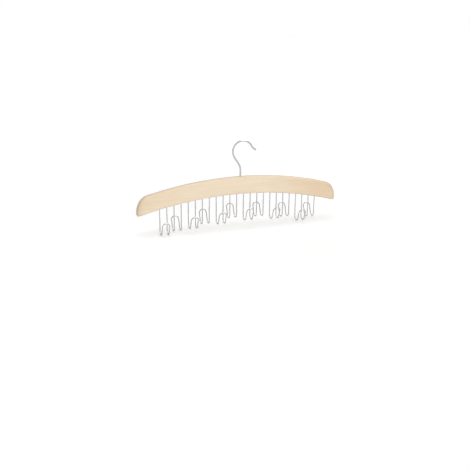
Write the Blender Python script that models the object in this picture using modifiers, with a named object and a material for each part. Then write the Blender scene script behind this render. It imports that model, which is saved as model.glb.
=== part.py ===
"""Belt hanger: an arched wooden bar, a swivelling wire hook and twelve bent-wire belt hooks.

Units are metres and +Z is up. The origin is on the swivel axis, level with the inner side of the
loop's top, where a wardrobe rail bears. +X runs along the bar, towards the open tip of the hook,
and +Y points to the back.
"""
import math

import bmesh
import bpy
from mathutils import Vector
from mathutils.geometry import interpolate_bezier

# Wooden bar
BAR_LENGTH = 0.440
BAR_HEIGHT = 0.0372
BAR_THICKNESS = 0.012
TOP_ARC_RADIUS = 0.780
UNDERSIDE_ARC_RADIUS = 0.798
BAR_EDGE_ROUND = 0.004
SHOULDER_LENGTH = 0.021
SHOULDER_DROP = 0.034
SHOULDER_FULLNESS = 0.52
LOWER_CORNER_ROUND = 0.0045

# Swivelling hook
HOOK_WIRE_DIAMETER = 0.0036
HOOK_RISE = 0.0733
LOOP_RADIUS = 0.0217
LOOP_OFFSET = 0.0049
SLANT_ANGLE = math.radians(34)
STEM_BEND_RADIUS = 0.022
LOOP_END_ANGLE = math.radians(28)
TIP_BEND_RADIUS = 0.0176
TIP_TURN = math.radians(37)
TIP_STRAIGHT = 0.0006

# Peened head under the bar, its washer and the counterbore that holds both
HEAD_DIAMETER = 0.0062
HEAD_HEIGHT = 0.0018
HEAD_NECK = 0.00004
WASHER_DIAMETER = 0.0084
WASHER_THICKNESS = 0.001
COUNTERBORE_DEPTH = 0.006

# Belt hooks
LEG_PITCH = 0.01503
BELT_WIRE_DIAMETER = 0.0023
LEG_LENGTH = 0.066
BEND_RADIUS = 0.0078
ARM_ANGLE = math.radians(19.7)
ARCH_HEIGHT = 0.0266

# Hang of each hook's low point below the bar's underside, from left to right, in as many pairs
FRONT_DROPS = (0.0528, 0.0556, 0.0571, 0.0548, 0.0540, 0.0556)
BACK_DROPS = (0.0570, 0.0559, 0.0519, 0.0527, 0.0528, 0.0475)

# Clearance between pieces that touch
CLEARANCE = 0.0003

# Fineness of the round shapes
ARC_STEPS = 8
SHOULDER_STEPS = 6
CORNER_STEPS = 4
EDGE_STEPS = 3
LOOP_STEPS = 22
SMALL_BEND_STEPS = 4
TIP_ROUND_ANGLES = tuple(math.radians(turn) for turn in (0, 30, 60, 80))
HEAD_ROUND_ANGLES = tuple(math.radians(turn) for turn in (30, 50, 70, 90))
BELT_BEND_STEPS = 7
ARCH_STEPS = 8
WIRE_BEVEL_RESOLUTION = 2
HOLE_SIDES = 12
BORE_SIDES = 16

# How far a cutter runs past the wood, and how near points are welded
OVERCUT = 0.002
WELD_DISTANCE = 0.00001

# Edges sharper than these are rounded over, or shaded as edges
ROUNDED_EDGE_ANGLE = math.radians(60)
SHADED_EDGE_ANGLE = math.radians(30)
FLAT_FACE_ANGLE = math.radians(0.1)

# Levels that follow from the sizes above
HOOK_WIRE_RADIUS = HOOK_WIRE_DIAMETER / 2
BELT_WIRE_RADIUS = BELT_WIRE_DIAMETER / 2
LOOP_CENTRE_Z = HOOK_WIRE_RADIUS - LOOP_RADIUS
BAR_TOP_Z = HOOK_WIRE_RADIUS - HOOK_RISE
BAR_UNDERSIDE_Z = BAR_TOP_Z - BAR_HEIGHT
COUNTERBORE_Z = BAR_UNDERSIDE_Z + COUNTERBORE_DEPTH
WASHER_TOP_Z = COUNTERBORE_Z - CLEARANCE
HEAD_TOP_Z = WASHER_TOP_Z - WASHER_THICKNESS - CLEARANCE


def clear_scene():
    """Remove whatever objects the open file holds."""
    for thing in list(bpy.data.objects):
        bpy.data.objects.remove(thing, do_unlink=True)


def new_collection(name):
    collection = bpy.data.collections.new(name)
    bpy.context.scene.collection.children.link(collection)
    return collection


def new_material(name, colour, roughness, metallic):
    material = bpy.data.materials.new(name)
    material.use_nodes = True
    shader = material.node_tree.nodes["Principled BSDF"]
    shader.inputs["Base Color"].default_value = (*colour, 1.0)
    shader.inputs["Roughness"].default_value = roughness
    shader.inputs["Metallic"].default_value = metallic
    return material


def arc(centre, radius, start, end, steps):
    """Points of an arc in a plane, from the start angle to the end angle."""
    angles = [start + (end - start) * i / steps for i in range(steps + 1)]
    return [
        Vector((centre[0] + radius * math.cos(a), centre[1] + radius * math.sin(a)))
        for a in angles
    ]


def wire_curve(name, points, radii, diameter, material):
    """A round wire along a line of points, closed at both ends."""
    curve = bpy.data.curves.new(name, "CURVE")
    curve.dimensions = "3D"
    curve.bevel_depth = diameter / 2
    curve.bevel_resolution = WIRE_BEVEL_RESOLUTION
    curve.use_fill_caps = True
    spline = curve.splines.new("POLY")
    spline.points.add(len(points) - 1)
    for spline_point, place, radius in zip(spline.points, points, radii):
        spline_point.co = (*place, 1.0)
        spline_point.radius = radius
    spline.use_smooth = True
    curve.materials.append(material)
    return curve


def turned_piece(name, profile, steps, collection):
    """A piece turned about Z from a profile of (radius, height) pairs, top to bottom outside."""
    mesh = bpy.data.meshes.new(name)
    shape = bmesh.new()
    corners = [shape.verts.new((radius, 0, height)) for radius, height in profile]
    for first, second in zip(corners, corners[1:]):
        shape.edges.new((first, second))
    if profile[0][0] > 0:
        shape.edges.new((corners[-1], corners[0]))
    shape.to_mesh(mesh)
    shape.free()
    piece = bpy.data.objects.new(name, mesh)
    collection.objects.link(piece)
    screw = piece.modifiers.new("turn", "SCREW")
    screw.axis = "Z"
    screw.steps = steps
    screw.render_steps = steps
    screw.use_merge_vertices = True
    screw.merge_threshold = WELD_DISTANCE
    screw.use_smooth_shade = False
    return piece


def cut(piece, cutter):
    """Subtract a cutter from a piece and hide the cutter."""
    boolean = piece.modifiers.new("cut " + cutter.name, "BOOLEAN")
    boolean.operation = "DIFFERENCE"
    boolean.solver = "EXACT"
    boolean.object = cutter
    cutter.display_type = "WIRE"
    cutter.hide_render = True


def arc_level(middle_level, radius, x):
    """Height of an arched edge at x, for an arc about a centre below the bar."""
    return middle_level - radius + math.sqrt(radius * radius - x * x)


def half_outline():
    """Outline of the bar's right half as (x, z), from the middle of the top to the underside."""
    tip_x = BAR_LENGTH / 2
    shoulder_x = tip_x - SHOULDER_LENGTH
    top = [
        Vector((x, arc_level(BAR_TOP_Z, TOP_ARC_RADIUS, x)))
        for x in (shoulder_x * i / ARC_STEPS for i in range(ARC_STEPS + 1))
    ]

    # The shoulder curves from the sloping top edge into the upright end
    slope = math.asin(shoulder_x / TOP_ARC_RADIUS)
    along_top = Vector((math.cos(slope), -math.sin(slope)))
    shoulder_end = Vector((tip_x, top[-1].y - SHOULDER_DROP))
    shoulder = interpolate_bezier(
        top[-1],
        top[-1] + along_top * SHOULDER_LENGTH * SHOULDER_FULLNESS,
        shoulder_end + Vector((0, SHOULDER_DROP * SHOULDER_FULLNESS)),
        shoulder_end,
        SHOULDER_STEPS + 1,
    )

    # The lower corner is a small round between the upright end and the underside
    slope = math.asin(tip_x / UNDERSIDE_ARC_RADIUS)
    centre_x = tip_x - LOWER_CORNER_ROUND
    centre_z = arc_level(BAR_UNDERSIDE_Z, UNDERSIDE_ARC_RADIUS, centre_x)
    centre_z += LOWER_CORNER_ROUND / math.cos(slope)
    corner = arc((centre_x, centre_z), LOWER_CORNER_ROUND, 0, -math.pi / 2 - slope, CORNER_STEPS)
    underside = [
        Vector((x, arc_level(BAR_UNDERSIDE_Z, UNDERSIDE_ARC_RADIUS, x)))
        for x in (corner[-1].x * i / ARC_STEPS for i in range(ARC_STEPS - 1, -1, -1))
    ]
    return top + [Vector(point) for point in shoulder[1:]] + corner + underside


def bar_blank(parts):
    """The bar before drilling: an extruded outline with rounded edges."""
    right = half_outline()
    left = [Vector((-point.x, point.y)) for point in reversed(right[1:-1])]
    curve = bpy.data.curves.new("bar_outline", "CURVE")
    curve.dimensions = "2D"
    curve.fill_mode = "BOTH"
    curve.extrude = BAR_THICKNESS / 2
    spline = curve.splines.new("POLY")
    outline = right + left
    spline.points.add(len(outline) - 1)
    for spline_point, place in zip(spline.points, outline):
        spline_point.co = (place.x, place.y, 0, 1)
    spline.use_cyclic_u = True
    guide = bpy.data.objects.new("bar_outline", curve)
    guide.rotation_euler.x = math.pi / 2
    parts.objects.link(guide)
    bpy.context.view_layer.update()

    depsgraph = bpy.context.evaluated_depsgraph_get()
    mesh = bpy.data.meshes.new_from_object(guide.evaluated_get(depsgraph))
    mesh.name = "wooden_bar"
    shape = bmesh.new()
    shape.from_mesh(mesh)
    bmesh.ops.remove_doubles(shape, verts=shape.verts, dist=WELD_DISTANCE)
    bmesh.ops.dissolve_limit(
        shape, angle_limit=FLAT_FACE_ANGLE, verts=shape.verts, edges=shape.edges
    )
    bmesh.ops.recalc_face_normals(shape, faces=shape.faces)
    shape.to_mesh(mesh)
    shape.free()

    bar = bpy.data.objects.new("wooden_bar", mesh)
    bar.matrix_world = guide.matrix_world
    parts.objects.link(bar)
    bpy.data.objects.remove(guide, do_unlink=True)

    rounding = bar.modifiers.new("rounded edges", "BEVEL")
    rounding.width = BAR_EDGE_ROUND
    rounding.segments = EDGE_STEPS
    rounding.limit_method = "ANGLE"
    rounding.angle_limit = ROUNDED_EDGE_ANGLE
    return bar


def hook_places():
    """Name, middle x, side and low level of every belt hook, from left to right."""
    pair_pitch = 4 * LEG_PITCH
    first_x = -(len(FRONT_DROPS) - 1) / 2 * pair_pitch
    places = []
    for side, offset, drops in (("front", -LEG_PITCH, FRONT_DROPS), ("back", LEG_PITCH, BACK_DROPS)):
        for pair, drop in enumerate(drops):
            x = first_x + pair * pair_pitch + offset
            low = arc_level(BAR_UNDERSIDE_Z, UNDERSIDE_ARC_RADIUS, x) - drop
            places.append((f"belt_hook_{side}_{pair + 1}", x, side, low))
    return places


def leg_hole_cutter(cutters):
    """One blind hole for each leg of each belt hook, straight up into the underside."""
    shape = bmesh.new()
    for _, x, _, low in hook_places():
        top = low + LEG_LENGTH + CLEARANCE
        for leg_x in (x - LEG_PITCH / 2, x + LEG_PITCH / 2):
            bottom = arc_level(BAR_UNDERSIDE_Z, UNDERSIDE_ARC_RADIUS, leg_x) - OVERCUT
            hole = bmesh.ops.create_cone(
                shape,
                cap_ends=True,
                segments=HOLE_SIDES,
                radius1=BELT_WIRE_RADIUS + CLEARANCE,
                radius2=BELT_WIRE_RADIUS + CLEARANCE,
                depth=top - bottom,
            )
            bmesh.ops.translate(shape, verts=hole["verts"], vec=(leg_x, 0, (top + bottom) / 2))
    mesh = bpy.data.meshes.new("leg_hole_cutter")
    shape.to_mesh(mesh)
    shape.free()
    cutter = bpy.data.objects.new("leg_hole_cutter", mesh)
    cutters.objects.link(cutter)
    return cutter


def stem_bore_cutter(cutters):
    """The through bore for the hook's stem, widened at the underside into a counterbore."""
    bore = HOOK_WIRE_RADIUS + CLEARANCE
    counterbore = WASHER_DIAMETER / 2 + CLEARANCE
    profile = [
        (0, BAR_TOP_Z + OVERCUT),
        (bore, BAR_TOP_Z + OVERCUT),
        (bore, COUNTERBORE_Z),
        (counterbore, COUNTERBORE_Z),
        (counterbore, BAR_UNDERSIDE_Z - OVERCUT),
        (0, BAR_UNDERSIDE_Z - OVERCUT),
    ]
    return turned_piece("stem_bore_cutter", profile, BORE_SIDES, cutters)


def wooden_bar(parts, cutters, wood):
    bar = bar_blank(parts)
    cut(bar, leg_hole_cutter(cutters))
    cut(bar, stem_bore_cutter(cutters))
    bar.data.materials.clear()
    bar.data.materials.append(wood)
    bar.data.shade_smooth()
    bar.data.set_sharp_from_angle(angle=SHADED_EDGE_ANGLE)
    return bar


def hook_washer(parts, steel):
    hole = HOOK_WIRE_RADIUS + CLEARANCE
    rim = WASHER_DIAMETER / 2
    profile = [
        (hole, WASHER_TOP_Z),
        (rim, WASHER_TOP_Z),
        (rim, WASHER_TOP_Z - WASHER_THICKNESS),
        (hole, WASHER_TOP_Z - WASHER_THICKNESS),
    ]
    washer = turned_piece("hook_washer", profile, BORE_SIDES, parts)
    washer.data.materials.append(steel)
    return washer


def swivel_hook_line():
    """Centre line of the hook above its head, as (x, z), from the stem to the open tip."""
    loop_centre = Vector((LOOP_OFFSET, LOOP_CENTRE_Z))
    loop_start = math.pi + SLANT_ANGLE
    loop = arc(loop_centre, LOOP_RADIUS, loop_start, LOOP_END_ANGLE, LOOP_STEPS)

    # The slanting run would meet the stem's line at the corner, which the stem's bend rounds off
    corner_z = loop[0].y + loop[0].x / math.tan(SLANT_ANGLE)
    bend_z = corner_z - STEM_BEND_RADIUS * math.tan(SLANT_ANGLE / 2)
    stem_bend = arc((-STEM_BEND_RADIUS, bend_z), STEM_BEND_RADIUS, 0, SLANT_ANGLE, SMALL_BEND_STEPS)

    # The tip bends the other way, away from the loop
    outward = Vector((math.cos(LOOP_END_ANGLE), math.sin(LOOP_END_ANGLE)))
    tip_centre = loop_centre + outward * (LOOP_RADIUS + TIP_BEND_RADIUS)
    tip_start = LOOP_END_ANGLE + math.pi
    tip_end = tip_start + TIP_TURN
    tip_bend = arc(tip_centre, TIP_BEND_RADIUS, tip_start, tip_end, SMALL_BEND_STEPS)
    heading = Vector((-math.sin(tip_end), math.cos(tip_end)))
    return stem_bend + loop + tip_bend[1:], heading


def swivel_hook(parts, chrome):
    """The bent wire, with its peened head below the washer and a rounded open end."""
    points = []
    radii = []
    for turn in HEAD_ROUND_ANGLES:
        points.append((0, 0, HEAD_TOP_Z - HEAD_HEIGHT * math.cos(turn)))
        radii.append(math.sin(turn) * HEAD_DIAMETER / HOOK_WIRE_DIAMETER)

    # Above the head the wire has its own width, up to the rounded end
    line, heading = swivel_hook_line()
    points.append((0, 0, HEAD_TOP_Z + HEAD_NECK))
    points += [(place.x, 0, place.y) for place in line]
    radii += [1.0] * (len(line) + 1)
    for turn in TIP_ROUND_ANGLES:
        place = line[-1] + heading * (TIP_STRAIGHT + HOOK_WIRE_RADIUS * math.sin(turn))
        points.append((place.x, 0, place.y))
        radii.append(math.cos(turn))
    curve = wire_curve("swivel_hook", points, radii, HOOK_WIRE_DIAMETER, chrome)
    hook = bpy.data.objects.new("swivel_hook", curve)
    parts.objects.link(hook)
    return hook


def belt_hook_line():
    """Centre line of one belt hook, its low points at z = 0 and its arch on the -Y side."""
    half_width = LEG_PITCH / 2
    bend = arc((-BEND_RADIUS, BEND_RADIUS), BEND_RADIUS, 0, ARM_ANGLE - math.pi, BELT_BEND_STEPS)
    along_arm = Vector((-math.sin(ARM_ANGLE), math.cos(ARM_ANGLE)))
    arm_length = (ARCH_HEIGHT - bend[-1].y) / math.cos(ARM_ANGLE)
    arch_centre = bend[-1] + along_arm * (arm_length - half_width)

    side = [Vector((0, LEG_LENGTH))] + bend
    left = [(-half_width, place.x, place.y) for place in side]
    right = [(half_width, place.x, place.y) for place in reversed(side)]
    arch = []
    for step in range(ARCH_STEPS + 1):
        turn = math.pi * step / ARCH_STEPS
        place = arch_centre + along_arm * half_width * math.sin(turn)
        arch.append((-half_width * math.cos(turn), place.x, place.y))
    return left + arch + right


def belt_hooks(parts, chrome):
    """Identical wires, set into the bar on its middle plane and facing front or back in turn."""
    line = belt_hook_line()
    curve = wire_curve("belt_hook", line, [1.0] * len(line), BELT_WIRE_DIAMETER, chrome)
    hooks = []
    for name, x, side, low in hook_places():
        hook = bpy.data.objects.new(name, curve)
        hook.location = (x, 0, low)
        hook.rotation_euler.z = 0 if side == "front" else math.pi
        parts.objects.link(hook)
        hooks.append(hook)
    return hooks


def main():
    clear_scene()
    parts = new_collection("belt_hanger")
    cutters = new_collection("belt_hanger_cutters")
    wood = new_material("pale_beech", (0.83, 0.69, 0.50), 0.45, 0.0)
    chrome = new_material("chromed_wire", (0.72, 0.72, 0.73), 0.2, 1.0)
    steel = new_material("plain_steel", (0.55, 0.55, 0.56), 0.35, 1.0)

    # Everything but the hook turns about the stem, so it hangs on an empty there
    swivel = bpy.data.objects.new("swivel_axis", None)
    swivel.location = (0, 0, BAR_TOP_Z)
    swivel.empty_display_size = BAR_HEIGHT
    parts.objects.link(swivel)
    bpy.context.view_layer.update()

    swivel_hook(parts, chrome)
    turning = [wooden_bar(parts, cutters, wood), hook_washer(parts, steel)]
    turning += belt_hooks(parts, chrome)
    for piece in turning:
        piece.parent = swivel
        piece.matrix_parent_inverse = swivel.matrix_world.inverted()


main()
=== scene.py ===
"""The looks of a belt hanger: pale beech, bright wire, a white studio and the camera.

Lengths are metres in the part's own frame: +X runs along the bar towards the hook's open tip, +Y
points to the back, and the origin is on the swivel axis, level with the inner side of the loop's top.
"""
import math

import bmesh
import bpy
from mathutils import Matrix, Vector
from mathutils.geometry import interpolate_bezier

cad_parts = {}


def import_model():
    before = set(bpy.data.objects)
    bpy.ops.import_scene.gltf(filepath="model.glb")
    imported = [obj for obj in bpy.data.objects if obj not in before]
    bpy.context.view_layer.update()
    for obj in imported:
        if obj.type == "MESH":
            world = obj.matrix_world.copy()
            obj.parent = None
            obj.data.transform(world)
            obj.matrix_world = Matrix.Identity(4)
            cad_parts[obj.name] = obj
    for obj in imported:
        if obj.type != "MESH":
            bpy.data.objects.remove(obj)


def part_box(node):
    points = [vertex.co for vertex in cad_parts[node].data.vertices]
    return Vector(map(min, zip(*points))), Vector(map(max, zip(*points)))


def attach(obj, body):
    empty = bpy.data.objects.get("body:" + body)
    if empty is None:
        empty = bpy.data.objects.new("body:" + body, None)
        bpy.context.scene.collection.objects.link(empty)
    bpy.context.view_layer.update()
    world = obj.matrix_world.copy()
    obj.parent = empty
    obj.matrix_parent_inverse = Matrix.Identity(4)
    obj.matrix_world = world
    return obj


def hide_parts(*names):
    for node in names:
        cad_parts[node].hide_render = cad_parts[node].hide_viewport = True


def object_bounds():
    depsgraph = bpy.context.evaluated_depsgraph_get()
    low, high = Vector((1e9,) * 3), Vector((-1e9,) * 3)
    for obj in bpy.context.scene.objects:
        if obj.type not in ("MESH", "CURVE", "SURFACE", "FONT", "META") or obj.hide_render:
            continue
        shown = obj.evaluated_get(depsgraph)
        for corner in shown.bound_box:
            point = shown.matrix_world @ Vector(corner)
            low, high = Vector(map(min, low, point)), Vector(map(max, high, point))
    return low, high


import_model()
CAD_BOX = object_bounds()

# Bodies of the part
TURNING_BODY = "hanger"
HOOK_BODY = "hook"

# Wooden bar, with its length, thickness and level taken from its solid
BAR_LOW, BAR_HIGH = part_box("wooden_bar")
BAR_LENGTH = BAR_HIGH.x - BAR_LOW.x
BAR_THICKNESS = BAR_HIGH.y - BAR_LOW.y
BAR_TOP_Z = BAR_HIGH.z
BAR_HEIGHT = 0.0372
TOP_ARC_RADIUS = 0.780
UNDERSIDE_ARC_RADIUS = 0.798
BAR_EDGE_ROUND = 0.004
SHOULDER_LENGTH = 0.021
SHOULDER_DROP = 0.034
SHOULDER_FULLNESS = 0.52
LOWER_CORNER_ROUND = 0.0045
FACE_MARGIN = 0.0003

# Swivelling hook, with its peened head, washer and counterbore
HOOK_WIRE_RADIUS = 0.0018
LOOP_RADIUS = 0.0217
LOOP_OFFSET = 0.0049
SLANT_ANGLE = math.radians(34)
STEM_BEND_RADIUS = 0.022
LOOP_END_ANGLE = math.radians(28)
TIP_BEND_RADIUS = 0.0176
TIP_TURN = math.radians(37)
TIP_STRAIGHT = 0.0006
HEAD_RADIUS = 0.0031
HEAD_HEIGHT = 0.0018
HEAD_FLAT_ANGLE = math.radians(30)
HEAD_NECK = 0.00004
RUNNING_GAP = 0.0003
COUNTERBORE_DEPTH = 0.006
WASHER_EDGE = 0.00015

# Belt hooks
BELT_WIRE_RADIUS = 0.00115
LEG_PITCH = 0.01503
LEG_LENGTH = 0.066
BEND_RADIUS = 0.0078
ARM_ANGLE = math.radians(19.7)
ARCH_HEIGHT = 0.0266
LEG_HOLE_GAP = 0.0001
HOLE_DEPTH_GAP = 0.0003
PAIRS = 6

# Fineness of the round shapes
ARC_STEPS = 40
SHOULDER_STEPS = 20
CORNER_STEPS = 10
EDGE_STEPS = 7
LOOP_STEPS = 96
SMALL_BEND_STEPS = 20
BELT_BEND_STEPS = 28
ARCH_STEPS = 40
DOME_STEPS = 8
HOOK_SIDES = 32
BELT_SIDES = 24
HOLE_SIDES = 32
BORE_SIDES = 64
OVERCUT = 0.002
SHADED_EDGE_ANGLE = math.radians(35)

# Levels that follow from the sizes above
BAR_UNDERSIDE_Z = BAR_TOP_Z - BAR_HEIGHT
COUNTERBORE_Z = BAR_UNDERSIDE_Z + COUNTERBORE_DEPTH
WASHER_LOW, WASHER_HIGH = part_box("hook_washer")
WASHER_RADIUS = WASHER_HIGH.x
HEAD_TOP_Z = WASHER_LOW.z - RUNNING_GAP
LOOP_CENTRE_Z = HOOK_WIRE_RADIUS - LOOP_RADIUS

# Year rings of the beech, round a pith behind and below the bar
PITH_Y = 0.040
PITH_Z = -0.150
RING_WIDTH = 0.0031
RING_WANDER = 0.012
RING_RIPPLE = 0.0014
TRUNK_TAPER = 0.018
LATE_WOOD_START = 0.25
LATE_WOOD_END = 0.92

# Sizes of the beech's features along the bar, through it and up it
RING_WANDER_SIZE = (0.16, 0.05, 0.05)
RING_RIPPLE_SIZE = (0.03, 0.012, 0.012)
FIBRE_SIZE = (0.045, 0.0009, 0.0009)
STREAK_SIZE = (0.11, 0.010, 0.0042)
TONE_SIZE = (0.10, 0.05, 0.030)
FLECK_SIZE = (0.0030, 0.0018, 0.00042)
END_TONE_SIZE = (0.05, 0.03, 0.012)
END_TONE_WANDER = 0.08

# How much the rings, the fibres and the flecks change the beech's colour
RING_SHARE = 0.22
FIBRE_SHARE = 0.35
FLECK_SHARE = 0.30
NOISE_MIDDLE = 0.5

# Ramps of the beech's tones: two levels of a value, and the share of the darker tone at each
FLECK_RAMP = (0.64, 0.74, 0.0, 1.0)
STREAK_RAMP = (0.35, 0.75, 0.0, 0.35)
TONE_RAMP = (0.35, 0.70, 0.0, 0.25)
RIGHT_TONE_RAMP = (0.02, 0.22, 0.0, 0.52)
LEFT_TONE_RAMP = (-0.16, -0.23, 0.0, 0.30)
# Painted shade on the rounded edges, by how far the surface turns from the faces.
ROUNDED_EDGE_SHADE_RAMP = (0.96, 0.70, 0.0, 0.42)
# Darker end grain on the end faces, partly painted shade.
ACROSS_RAMP = (0.08, 0.55, 0.0, 0.44)
# Painted shade at the bar's left tip.
LEFT_TIP_SHADE_RAMP = (-0.203, -0.2175, 0.0, 0.26)

# Painted shade along the rim of the shoulder on the side of the hook's tip: its centre, and ramps outward
# and along X
SHOULDER_CENTRE_X = 0.190
SHOULDER_CENTRE_Z = -0.130
SHOULDER_RIM_RAMP = (0.0215, 0.0290, 0.0, 0.22)
SHOULDER_START_RAMP = (SHOULDER_CENTRE_X, 0.206, 0.0, 1.0)

# Lacquer and relief of the beech, with a ramp from two levels of the fibres to two roughnesses
LACQUER_ROUGHNESS_RAMP = (0.3, 0.7, 0.42, 0.52)
LACQUER_SPECULAR_LEVEL = 0.35
COAT_WEIGHT = 0.08
COAT_ROUGHNESS = 0.35
FLECK_RELIEF = 0.4
GRAIN_DEPTH = 0.00004

# Metals: sizes of their features, ramps of their roughness, and their relief
HAZE_SIZE = (0.006, 0.006, 0.006)
DRAWN_SIZE = (0.0012, 0.0012, 0.0012)
SPOT_SIZE = (0.0015, 0.0015, 0.0015)
CHROME_ROUGHNESS_RAMP = (0.3, 0.7, 0.08, 0.14)
STEEL_ROUGHNESS_RAMP = (0.3, 0.7, 0.28, 0.42)
TURNED_LINE_PITCH = 0.0002
METAL_RELIEF_DEPTH = 0.000004

# Camera, as fitted to the bar, the legs and the hook in the photograph
CAMERA_PLACE = Vector((-0.4905, -1.2803, 0.2370))
CAMERA_YAW = math.radians(20.552)
CAMERA_PITCH = math.radians(17.655)
CAMERA_ROLL = math.radians(0.5446)
CAMERA_LENS = 51.89
CAMERA_SENSOR = 36

# Studio
WHITE = (1.0, 1.0, 1.0, 1.0)
FLOOR_GAP = 0.0005
FLOOR_Z = CAD_BOX[0].z - FLOOR_GAP
FLOOR_SIZE = 30.0
FLOOR_GLOW = 0.148
PAPER_LIGHTING = (0.90, 0.90, 0.90, 1.0)
PAPER_SEEN = (0.98, 0.98, 0.98, 1.0)
FILL_LEVEL = 0.36

# Lamps: azimuth and elevation in degrees, level on a face square to the light, and spread in degrees
FRONT_LIGHT = (-8, 12, 0.405, 40)
TOP_LIGHT = (40, 82, 0.30, 50)
OVERHEAD_CARD = (-90, 64, 0.80, 44)
BACK_LIGHT = (172, 12, 0.32, 50)
LEFT_LIGHT = (90, 12, 0.18, 50)
RIGHT_LIGHT = (-90, 12, 0.18, 50)


def srgb(red, green, blue):
    """Linear colour of an 8-bit one."""
    def linear(value):
        share = value / 255
        return share / 12.92 if share <= 0.04045 else ((share + 0.055) / 1.055) ** 2.4
    return linear(red), linear(green), linear(blue), 1.0


# Geometry helpers

def arc(centre, radius, start, end, steps):
    """Points of an arc in a plane, from the start angle to the end angle."""
    angles = [start + (end - start) * i / steps for i in range(steps + 1)]
    return [
        Vector((centre[0] + radius * math.cos(a), centre[1] + radius * math.sin(a)))
        for a in angles
    ]


def arc_level(middle_level, radius, x):
    """Height of an arched edge at x, for an arc about a centre below the bar."""
    return middle_level - radius + math.sqrt(radius * radius - x * x)


def solid(name, shape):
    """An object made of a closed bmesh, with its faces turned outward."""
    mesh = bpy.data.meshes.new(name)
    bmesh.ops.recalc_face_normals(shape, faces=shape.faces)
    shape.to_mesh(mesh)
    shape.free()
    thing = bpy.data.objects.new(name, mesh)
    bpy.context.scene.collection.objects.link(thing)
    return thing


def new_piece(name, shape, material, body):
    """A finished piece, smooth but for its sharp edges, that rides on a body."""
    piece = solid(name, shape)
    piece.data.shade_smooth()
    piece.data.set_sharp_from_angle(angle=SHADED_EDGE_ANGLE)
    piece.data.materials.append(material)
    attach(piece, body)
    return piece


def join_rings(shape, first, second):
    """Four-sided faces between two closed rings of as many corners."""
    for i in range(len(first)):
        after = (i + 1) % len(first)
        shape.faces.new((first[i], first[after], second[after], second[i]))


def loft(rings):
    """A closed shape through a row of rings, each a list of points, with a flat face at either end."""
    shape = bmesh.new()
    corners = [[shape.verts.new(point) for point in ring] for ring in rings]
    for first, second in zip(corners, corners[1:]):
        join_rings(shape, first, second)
    shape.faces.new(corners[0])
    shape.faces.new(corners[-1])
    return shape


def swept_wire(points, radii, sides):
    """A round wire along a line, with the turning of its sections carried from one to the next."""
    ahead = (points[1] - points[0]).normalized()
    across = ahead.orthogonal().normalized()
    rings = []
    for i, place in enumerate(points):
        before = points[max(i - 1, 0)]
        after = points[min(i + 1, len(points) - 1)]
        along = (after - before).normalized()
        across = (across - along * across.dot(along)).normalized()
        other = along.cross(across)
        ring = []
        for k in range(sides):
            turn = 2 * math.pi * k / sides
            offset = across * math.cos(turn) + other * math.sin(turn)
            ring.append(place + offset * radii[i])
        rings.append(ring)
    return loft(rings)


def turned(profile, sides):
    """A closed ring turned about Z from a closed profile of (radius, height) pairs."""
    shape = bmesh.new()
    rings = []
    for k in range(sides):
        turn = 2 * math.pi * k / sides
        rings.append([
            shape.verts.new((radius * math.cos(turn), radius * math.sin(turn), height))
            for radius, height in profile
        ])
    for k in range(sides):
        join_rings(shape, rings[k], rings[(k + 1) % sides])
    return shape


# Shader helpers

class Shader:
    """A material under construction: its nodes and the shader that they feed."""

    def __init__(self, name):
        self.material = bpy.data.materials.new(name)
        self.material.use_nodes = True
        self.tree = self.material.node_tree
        self.surface = self.tree.nodes["Principled BSDF"]
        coordinates = self.tree.nodes.new("ShaderNodeTexCoord")
        self.place = coordinates.outputs["Object"]
        self.facing = coordinates.outputs["Normal"]

    def feed(self, socket, value):
        """Links a node's output to a socket, or sets the socket to a plain value."""
        if isinstance(value, bpy.types.NodeSocket):
            self.tree.links.new(value, socket)
        else:
            socket.default_value = value

    def give(self, name, value):
        """Feeds one of the shader's own sockets."""
        self.feed(self.surface.inputs[name], value)

    def math(self, operation, first, second=0.0):
        """The result of an operation on one or two values."""
        node = self.tree.nodes.new("ShaderNodeMath")
        node.operation = operation
        self.feed(node.inputs[0], first)
        self.feed(node.inputs[1], second)
        return node.outputs[0]

    def distance(self, first, second):
        """How far apart two points are, from the differences of their two coordinates."""
        squares = [self.math("MULTIPLY", value, value) for value in (first, second)]
        return self.math("SQRT", self.math("ADD", *squares))

    def axes(self, vector):
        """The three parts of a vector, by the names of the axes."""
        node = self.tree.nodes.new("ShaderNodeSeparateXYZ")
        self.feed(node.inputs[0], vector)
        return node.outputs

    def noise(self, size, detail=2.0, roughness=0.5):
        """Noise from 0 to 1 whose features have the given size along each axis."""
        cells = self.tree.nodes.new("ShaderNodeMapping")
        cells.inputs["Scale"].default_value = [1 / length for length in size]
        self.feed(cells.inputs["Vector"], self.place)
        node = self.tree.nodes.new("ShaderNodeTexNoise")
        self.feed(node.inputs["Vector"], cells.outputs[0])
        node.inputs["Scale"].default_value = 1.0
        node.inputs["Detail"].default_value = detail
        node.inputs["Roughness"].default_value = roughness
        return node.outputs["Fac"]

    def ramp(self, value, low, high, start=0.0, end=1.0):
        """A smooth step of a value between two levels."""
        node = self.tree.nodes.new("ShaderNodeMapRange")
        node.interpolation_type = "SMOOTHSTEP"
        self.feed(node.inputs["Value"], value)
        node.inputs["From Min"].default_value = low
        node.inputs["From Max"].default_value = high
        node.inputs["To Min"].default_value = start
        node.inputs["To Max"].default_value = end
        return node.outputs["Result"]

    def mix(self, share, first, second):
        """The first colour, with the given share of the second."""
        node = self.tree.nodes.new("ShaderNodeMix")
        node.data_type = "RGBA"
        self.feed(node.inputs["Factor"], share)
        self.feed(node.inputs["A"], first)
        self.feed(node.inputs["B"], second)
        return node.outputs["Result"]

    def bump(self, height, depth):
        """Relief by a height, where a height of 1 stands out by the given depth."""
        node = self.tree.nodes.new("ShaderNodeBump")
        self.feed(node.inputs["Height"], height)
        node.inputs["Distance"].default_value = depth
        node.inputs["Strength"].default_value = 1.0
        self.give("Normal", node.outputs["Normal"])


# Materials

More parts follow.
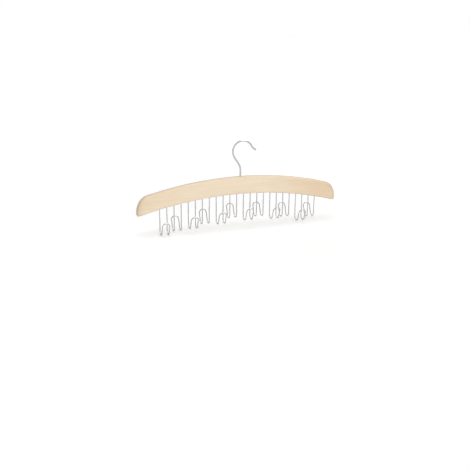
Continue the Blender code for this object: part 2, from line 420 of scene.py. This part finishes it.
def growth_rings(wood):
    """The year rings round the pith: 0 in early wood, 1 in late wood."""
    place = wood.axes(wood.place)
    wander = wood.math("MULTIPLY", wood.noise(RING_WANDER_SIZE, detail=1.0), RING_WANDER)
    ripple = wood.math("MULTIPLY", wood.noise(RING_RIPPLE_SIZE), RING_RIPPLE)
    taper = wood.math("MULTIPLY", place["X"], TRUNK_TAPER)
    drift = wood.math("ADD", wood.math("ADD", wander, ripple), taper)
    behind = wood.math("SUBTRACT", place["Y"], PITH_Y)
    above = wood.math("SUBTRACT", place["Z"], PITH_Z)
    reach = wood.math("ADD", wood.distance(behind, above), drift)
    year = wood.math("FRACT", wood.math("DIVIDE", reach, RING_WIDTH))
    late = wood.ramp(year, LATE_WOOD_START, LATE_WOOD_END)
    return wood.math("MULTIPLY", late, wood.ramp(year, LATE_WOOD_END, 1.0, 1.0, 0.0))


def end_tone(wood):
    """Share of the darker tone that the board takes on towards its ends, mostly the hook tip's one."""
    wander = wood.math("SUBTRACT", wood.noise(END_TONE_SIZE), NOISE_MIDDLE)
    wander = wood.math("MULTIPLY", wander, END_TONE_WANDER)
    along = wood.math("ADD", wood.axes(wood.place)["X"], wander)
    right = wood.ramp(along, *RIGHT_TONE_RAMP)
    left = wood.ramp(along, *LEFT_TONE_RAMP)
    return wood.math("ADD", right, left)


def shoulder_shade(wood):
    """Share of the painted shade along the rim of the shoulder on the side of the hook's tip."""
    place = wood.axes(wood.place)
    beyond = wood.math("SUBTRACT", place["X"], SHOULDER_CENTRE_X)
    above = wood.math("SUBTRACT", place["Z"], SHOULDER_CENTRE_Z)
    rim = wood.ramp(wood.distance(beyond, above), *SHOULDER_RIM_RAMP)
    return wood.math("MULTIPLY", rim, wood.ramp(place["X"], *SHOULDER_START_RAMP))


def beech():
    """Pale lacquered beech: rings, fibres, ray flecks and warmer ends, with darker end grain on the end
    faces that also paints shade there, and painted shade on the rounded edges, at the left tip and along
    the rim of the hook tip's shoulder.
    """
    wood = Shader("pale_beech")
    light = srgb(242, 226, 202)
    warm = srgb(230, 207, 175)
    fleck_brown = srgb(196, 160, 122)
    tan = srgb(220, 190, 150)
    # Colour of the painted shade on the rounded edges.
    edge_shade_colour = srgb(197, 178, 154)
    # Darker end grain, also used as painted shade on the end faces, at the left tip and along the
    # shoulder's rim.
    end_grain_and_shade = srgb(179, 160, 138)

    fibres = wood.noise(FIBRE_SIZE, detail=4.0, roughness=0.6)
    streaks = wood.noise(STREAK_SIZE, detail=3.0, roughness=0.55)
    flecks = wood.ramp(wood.noise(FLECK_SIZE, detail=1.0), *FLECK_RAMP)
    warmth = wood.math("MULTIPLY", growth_rings(wood), RING_SHARE)
    for share in (
        wood.ramp(streaks, *STREAK_RAMP),
        wood.ramp(wood.noise(TONE_SIZE), *TONE_RAMP),
        wood.math("MULTIPLY", wood.math("SUBTRACT", fibres, NOISE_MIDDLE), FIBRE_SHARE),
    ):
        warmth = wood.math("ADD", warmth, share)

    facing = wood.axes(wood.facing)
    colour = wood.mix(warmth, light, warm)
    for share, darker in (
        (wood.math("MULTIPLY", flecks, FLECK_SHARE), fleck_brown),
        (end_tone(wood), tan),
        # Painted shade on the rounded edges, darker where the surface turns away from the faces.
        (wood.ramp(wood.math("ABSOLUTE", facing["Y"]), *ROUNDED_EDGE_SHADE_RAMP), edge_shade_colour),
        # Darker end grain on the end faces, deepened there as painted shade.
        (wood.ramp(wood.math("ABSOLUTE", facing["X"]), *ACROSS_RAMP), end_grain_and_shade),
        # Painted shade at the bar's left tip.
        (wood.ramp(wood.axes(wood.place)["X"], *LEFT_TIP_SHADE_RAMP), end_grain_and_shade),
        # Painted shade along the rim of the shoulder on the side of the hook's tip.
        (shoulder_shade(wood), end_grain_and_shade),
    ):
        colour = wood.mix(share, colour, darker)
    wood.give("Base Color", colour)

    wood.give("Roughness", wood.ramp(fibres, *LACQUER_ROUGHNESS_RAMP))
    wood.give("Specular IOR Level", LACQUER_SPECULAR_LEVEL)
    wood.give("Coat Weight", COAT_WEIGHT)
    wood.give("Coat Roughness", COAT_ROUGHNESS)
    relief = wood.math("SUBTRACT", fibres, wood.math("MULTIPLY", flecks, FLECK_RELIEF))
    wood.bump(relief, GRAIN_DEPTH)
    return wood.material


def bright_wire():
    """Chromed wire with the faint unevenness of drawn and plated steel."""
    wire = Shader("bright_chrome")
    clear = (0.54, 0.54, 0.55, 1.0)
    hazed = (0.50, 0.50, 0.51, 1.0)
    edge_tint = (0.45, 0.45, 0.46, 1.0)
    haze = wire.noise(HAZE_SIZE, detail=3.0)
    wire.give("Base Color", wire.mix(haze, clear, hazed))
    wire.give("Roughness", wire.ramp(haze, *CHROME_ROUGHNESS_RAMP))
    wire.give("Metallic", 1.0)
    wire.give("Specular Tint", edge_tint)
    wire.bump(wire.noise(DRAWN_SIZE), METAL_RELIEF_DEPTH)
    return wire.material


def plain_steel():
    """The washer's zinc-plated steel, with turned lines round the stem."""
    steel = Shader("plain_steel")
    bright = (0.60, 0.60, 0.61, 1.0)
    dull = (0.50, 0.50, 0.52, 1.0)
    place = steel.axes(steel.place)
    radius = steel.distance(place["X"], place["Y"])
    lines = steel.math("SINE", steel.math("MULTIPLY", radius, 2 * math.pi / TURNED_LINE_PITCH))
    spots = steel.noise(SPOT_SIZE, detail=3.0)
    steel.give("Base Color", steel.mix(spots, bright, dull))
    steel.give("Roughness", steel.ramp(spots, *STEEL_ROUGHNESS_RAMP))
    steel.give("Metallic", 1.0)
    steel.bump(lines, METAL_RELIEF_DEPTH)
    return steel.material


# Wooden bar

def half_outline():
    """Outline of the bar's right half as (x, z), from the middle of the top to the underside."""
    tip_x = BAR_LENGTH / 2
    shoulder_x = tip_x - SHOULDER_LENGTH
    top = [
        Vector((x, arc_level(BAR_TOP_Z, TOP_ARC_RADIUS, x)))
        for x in (shoulder_x * i / ARC_STEPS for i in range(ARC_STEPS + 1))
    ]
    slope = math.asin(shoulder_x / TOP_ARC_RADIUS)
    along_top = Vector((math.cos(slope), -math.sin(slope)))
    shoulder_end = Vector((tip_x, top[-1].y - SHOULDER_DROP))
    shoulder = interpolate_bezier(
        top[-1],
        top[-1] + along_top * SHOULDER_LENGTH * SHOULDER_FULLNESS,
        shoulder_end + Vector((0, SHOULDER_DROP * SHOULDER_FULLNESS)),
        shoulder_end,
        SHOULDER_STEPS + 1,
    )
    slope = math.asin(tip_x / UNDERSIDE_ARC_RADIUS)
    centre_x = tip_x - LOWER_CORNER_ROUND
    centre_z = arc_level(BAR_UNDERSIDE_Z, UNDERSIDE_ARC_RADIUS, centre_x)
    centre_z += LOWER_CORNER_ROUND / math.cos(slope)
    corner = arc((centre_x, centre_z), LOWER_CORNER_ROUND, 0, -math.pi / 2 - slope, CORNER_STEPS)
    underside = [
        Vector((x, arc_level(BAR_UNDERSIDE_Z, UNDERSIDE_ARC_RADIUS, x)))
        for x in (corner[-1].x * i / ARC_STEPS for i in range(ARC_STEPS - 1, -1, -1))
    ]
    return top + [Vector(point) for point in shoulder[1:]] + corner + underside


def bar_rings():
    """The bar's outline, drawn in and set back in steps from the front face round to the back one."""
    right = half_outline()
    outline = right + [Vector((-point.x, point.y)) for point in reversed(right[1:-1])]
    inward = []
    for i in range(len(outline)):
        along = (outline[(i + 1) % len(outline)] - outline[i - 1]).normalized()
        inward.append(Vector((along.y, -along.x)))
    sections = [(BAR_EDGE_ROUND + FACE_MARGIN, 0.0)]
    for i in range(EDGE_STEPS + 1):
        turn = math.pi / 2 * i / EDGE_STEPS
        sections.append((
            BAR_EDGE_ROUND * (1 - math.sin(turn)),
            BAR_EDGE_ROUND * (1 - math.cos(turn)),
        ))
    sections += [(inset, BAR_THICKNESS - depth) for inset, depth in reversed(sections)]
    return [
        [
            (point.x + normal.x * inset, depth - BAR_THICKNESS / 2, point.y + normal.y * inset)
            for point, normal in zip(outline, inward)
        ]
        for inset, depth in sections
    ]


def leg_holes(low_points):
    """The cylinders that drill the blind holes of the belt hooks' legs."""
    shape = bmesh.new()
    for x, low in low_points:
        top = low + LEG_LENGTH + HOLE_DEPTH_GAP
        for leg_x in (x - LEG_PITCH / 2, x + LEG_PITCH / 2):
            bottom = arc_level(BAR_UNDERSIDE_Z, UNDERSIDE_ARC_RADIUS, leg_x) - OVERCUT
            hole = bmesh.ops.create_cone(
                shape,
                cap_ends=True,
                segments=HOLE_SIDES,
                radius1=BELT_WIRE_RADIUS + LEG_HOLE_GAP,
                radius2=BELT_WIRE_RADIUS + LEG_HOLE_GAP,
                depth=top - bottom,
            )
            bmesh.ops.translate(shape, verts=hole["verts"], vec=(leg_x, 0, (top + bottom) / 2))
    return shape


def stem_bore():
    """The two cylinders, which overlap, that drill the stem's bore and its counterbore."""
    shape = bmesh.new()
    bore = HOOK_WIRE_RADIUS + RUNNING_GAP
    wide = WASHER_RADIUS + RUNNING_GAP
    for radius, low, high in (
        (bore, COUNTERBORE_Z - OVERCUT, BAR_TOP_Z + OVERCUT),
        (wide, BAR_UNDERSIDE_Z - OVERCUT, COUNTERBORE_Z),
    ):
        hole = bmesh.ops.create_cone(
            shape, cap_ends=True, segments=BORE_SIDES, radius1=radius, radius2=radius, depth=high - low
        )
        bmesh.ops.translate(shape, verts=hole["verts"], vec=(0, 0, (low + high) / 2))
    return shape


def wooden_bar(low_points, wood):
    """The bar, drilled for the hook's stem and for the belt hooks with the given low points."""
    blank = solid("bar_blank", loft(bar_rings()))
    tools = [solid("leg_holes", leg_holes(low_points)), solid("stem_bore", stem_bore())]
    for tool in tools:
        drilling = blank.modifiers.new(tool.name, "BOOLEAN")
        drilling.operation = "DIFFERENCE"
        drilling.solver = "EXACT"
        drilling.use_self = tool.name == "stem_bore"
        drilling.object = tool
    bpy.context.view_layer.update()
    drilled = bmesh.new()
    drilled.from_object(blank, bpy.context.evaluated_depsgraph_get())
    for thing in [blank] + tools:
        bpy.data.objects.remove(thing, do_unlink=True)
    bar = new_piece("beech_bar", drilled, wood, TURNING_BODY)
    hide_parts("wooden_bar")


# Swivelling hook and its washer

def hook_line():
    """Centre line of the hook from its head to its tip as (x, z), with the wire's radii."""
    centre = Vector((LOOP_OFFSET, LOOP_CENTRE_Z))
    loop = arc(centre, LOOP_RADIUS, math.pi + SLANT_ANGLE, LOOP_END_ANGLE, LOOP_STEPS)
    corner_z = loop[0].y + loop[0].x / math.tan(SLANT_ANGLE)
    bend_z = corner_z - STEM_BEND_RADIUS * math.tan(SLANT_ANGLE / 2)
    stem_bend = arc((-STEM_BEND_RADIUS, bend_z), STEM_BEND_RADIUS, 0, SLANT_ANGLE, SMALL_BEND_STEPS)
    outward = Vector((math.cos(LOOP_END_ANGLE), math.sin(LOOP_END_ANGLE)))
    tip_centre = centre + outward * (LOOP_RADIUS + TIP_BEND_RADIUS)
    tip_start = LOOP_END_ANGLE + math.pi
    tip_end = tip_start + TIP_TURN
    tip_bend = arc(tip_centre, TIP_BEND_RADIUS, tip_start, tip_end, SMALL_BEND_STEPS)
    heading = Vector((-math.sin(tip_end), math.cos(tip_end)))

    line = []
    radii = []
    for i in range(DOME_STEPS + 1):
        turn = HEAD_FLAT_ANGLE + (math.pi / 2 - HEAD_FLAT_ANGLE) * i / DOME_STEPS
        line.append(Vector((0, HEAD_TOP_Z - HEAD_HEIGHT * math.cos(turn))))
        radii.append(HEAD_RADIUS * math.sin(turn))
    line.append(Vector((0, HEAD_TOP_Z + HEAD_NECK)))
    line += stem_bend + loop + tip_bend[1:]
    radii += [HOOK_WIRE_RADIUS] * (len(line) - len(radii))
    end = line[-1] + heading * TIP_STRAIGHT
    for i in range(DOME_STEPS):
        turn = math.pi / 2 * i / DOME_STEPS
        line.append(end + heading * HOOK_WIRE_RADIUS * math.sin(turn))
        radii.append(HOOK_WIRE_RADIUS * math.cos(turn))
    return line, radii


def swivel_hook(chrome):
    """The bent wire from the peened head under the bar to the hook's tip."""
    line, radii = hook_line()
    points = [Vector((place.x, 0, place.y)) for place in line]
    hook = new_piece("wire_hook", swept_wire(points, radii, HOOK_SIDES), chrome, HOOK_BODY)
    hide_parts("swivel_hook")


def washer(steel):
    """The washer above the peened head, with its outer edges taken off."""
    low, high = WASHER_LOW.z, WASHER_HIGH.z
    hole = HOOK_WIRE_RADIUS + RUNNING_GAP
    profile = [
        (hole, high),
        (WASHER_RADIUS - WASHER_EDGE, high),
        (WASHER_RADIUS, high - WASHER_EDGE),
        (WASHER_RADIUS, low + WASHER_EDGE),
        (WASHER_RADIUS - WASHER_EDGE, low),
        (hole, low),
    ]
    ring = new_piece("steel_washer", turned(profile, BORE_SIDES), steel, TURNING_BODY)
    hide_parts("hook_washer")


# Belt hooks

def belt_hook_line(side):
    """Centre line of a belt hook about its low point, with its arch to the front or the back."""
    facing = -1 if side == "front" else 1
    half = LEG_PITCH / 2
    bend = arc((-BEND_RADIUS, BEND_RADIUS), BEND_RADIUS, 0, ARM_ANGLE - math.pi, BELT_BEND_STEPS)
    along_arm = Vector((-math.sin(ARM_ANGLE), math.cos(ARM_ANGLE)))
    arm_length = (ARCH_HEIGHT - bend[-1].y) / math.cos(ARM_ANGLE)
    arch_centre = bend[-1] + along_arm * (arm_length - half)
    flank = [Vector((0, LEG_LENGTH))] + bend
    line = [(-half, place) for place in flank]
    for step in range(ARCH_STEPS + 1):
        turn = math.pi * step / ARCH_STEPS
        line.append((-half * math.cos(turn), arch_centre + along_arm * half * math.sin(turn)))
    line += [(half, place) for place in reversed(flank)]
    return [Vector((x, -facing * place.x, place.y)) for x, place in line]


def belt_hook(side, number, chrome):
    """One belt hook at its solid's place. Gives the x and the height of its wire's low point."""
    node = f"belt_hook_{side}_{number}"
    low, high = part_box(node)
    middle = Vector(((low.x + high.x) / 2, 0, low.z + BELT_WIRE_RADIUS))
    points = [middle + point for point in belt_hook_line(side)]
    shape = swept_wire(points, [BELT_WIRE_RADIUS] * len(points), BELT_SIDES)
    hook = new_piece(f"belt_wire_{side}_{number}", shape, chrome, TURNING_BODY)
    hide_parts(node)
    return middle.x, middle.z


# Studio

def seen_share(nodes, links):
    """1 for the rays by which the camera and the metal see a surface, 0 for those that light it."""
    rays = nodes.new("ShaderNodeLightPath")
    share = rays.outputs["Is Camera Ray"]
    for kind in ("Is Glossy Ray", "Is Transmission Ray"):
        either = nodes.new("ShaderNodeMath")
        either.operation = "MAXIMUM"
        links.new(share, either.inputs[0])
        links.new(rays.outputs[kind], either.inputs[1])
        share = either.outputs[0]
    return share


def blended(nodes, links, share, first, second):
    """The first shader, with the given share of the second."""
    blend = nodes.new("ShaderNodeMixShader")
    links.new(share, blend.inputs[0])
    links.new(first, blend.inputs[1])
    links.new(second, blend.inputs[2])
    return blend.outputs[0]


def floor():
    """A white floor that shows plain white to the camera and the metal, but for the soft shadow."""
    bpy.ops.mesh.primitive_plane_add(size=FLOOR_SIZE, location=(0, 0, FLOOR_Z))
    ground = bpy.context.object
    ground.name = "studio_floor"
    paper = Shader("white_paper")
    nodes, links = paper.tree.nodes, paper.tree.links
    seen = seen_share(nodes, links)
    paper.give("Base Color", paper.mix(seen, PAPER_LIGHTING, PAPER_SEEN))
    paper.give("Roughness", 1.0)
    paper.give("Specular IOR Level", 0.0)
    paper.give("Emission Color", WHITE)
    paper.give("Emission Strength", paper.math("MULTIPLY", seen, FLOOR_GLOW))
    below = nodes.new("ShaderNodeNewGeometry").outputs["Backfacing"]
    clear = nodes.new("ShaderNodeBsdfTransparent")
    sided = blended(nodes, links, below, paper.surface.outputs[0], clear.outputs[0])
    links.new(sided, nodes["Material Output"].inputs["Surface"])
    ground.data.materials.append(paper.material)


def world():
    """A plain level as light, and plain white for the camera and the metal."""
    studio = bpy.data.worlds.new("white_studio")
    bpy.context.scene.world = studio
    studio.use_nodes = True
    nodes, links = studio.node_tree.nodes, studio.node_tree.links
    fill = nodes["Background"]
    white = nodes.new("ShaderNodeBackground")
    for background, level in ((fill, FILL_LEVEL), (white, 1.0)):
        background.inputs["Color"].default_value = WHITE
        background.inputs["Strength"].default_value = level
    seen = blended(nodes, links, seen_share(nodes, links), fill.outputs[0], white.outputs[0])
    links.new(seen, nodes["World Output"].inputs["Surface"])


def soft_sun(name, azimuth, elevation, level, spread, lighting=True, mirrored=False):
    """Soft light from one side, at the level that it adds to a face square to it.

    A lamp that is only mirrored is a bright card: the metal and the lacquer show it, and it lights nothing.
    """
    data = bpy.data.lights.new(name, "SUN")
    data.energy = level * math.pi
    data.angle = math.radians(spread)
    lamp = bpy.data.objects.new(name, data)
    turn, lift = math.radians(azimuth), math.radians(elevation)
    towards = Vector((-math.sin(turn) * math.cos(lift), -math.cos(turn) * math.cos(lift), math.sin(lift)))
    lamp.rotation_mode = "QUATERNION"
    lamp.rotation_quaternion = (-towards).to_track_quat("-Z", "Y")
    lamp.visible_camera = False
    lamp.visible_diffuse = lighting
    lamp.visible_glossy = mirrored
    bpy.context.scene.collection.objects.link(lamp)


def camera():
    """The camera at the photograph's place, turned by its yaw, pitch and roll."""
    forward = Vector((
        math.sin(CAMERA_YAW) * math.cos(CAMERA_PITCH),
        math.cos(CAMERA_YAW) * math.cos(CAMERA_PITCH),
        -math.sin(CAMERA_PITCH),
    ))
    level = Vector((math.cos(CAMERA_YAW), -math.sin(CAMERA_YAW), 0))
    upward = level.cross(forward)
    right = math.cos(CAMERA_ROLL) * level + math.sin(CAMERA_ROLL) * upward
    top = math.cos(CAMERA_ROLL) * upward - math.sin(CAMERA_ROLL) * level
    turn = Matrix((right, top, -forward)).transposed().to_4x4()
    data = bpy.data.cameras.new("camera")
    data.sensor_width = CAMERA_SENSOR
    data.lens = CAMERA_LENS
    eye = bpy.data.objects.new("camera", data)
    eye.matrix_world = Matrix.Translation(CAMERA_PLACE) @ turn
    bpy.context.scene.collection.objects.link(eye)
    bpy.context.scene.camera = eye


def main():
    """The whole hanger, the studio round it and the camera."""
    wood = beech()
    chrome = bright_wire()
    steel = plain_steel()

    low_points = []
    for side in ("front", "back"):
        for number in range(1, PAIRS + 1):
            low_points.append(belt_hook(side, number, chrome))
    wooden_bar(low_points, wood)
    swivel_hook(chrome)
    washer(steel)

    floor()
    world()
    soft_sun("front_light", *FRONT_LIGHT)
    soft_sun("top_light", *TOP_LIGHT)
    soft_sun("overhead_card", *OVERHEAD_CARD, lighting=False, mirrored=True)
    soft_sun("back_light", *BACK_LIGHT)
    soft_sun("left_light", *LEFT_LIGHT)
    soft_sun("right_light", *RIGHT_LIGHT)
    camera()
    bpy.context.scene.view_settings.view_transform = "Standard"


main()
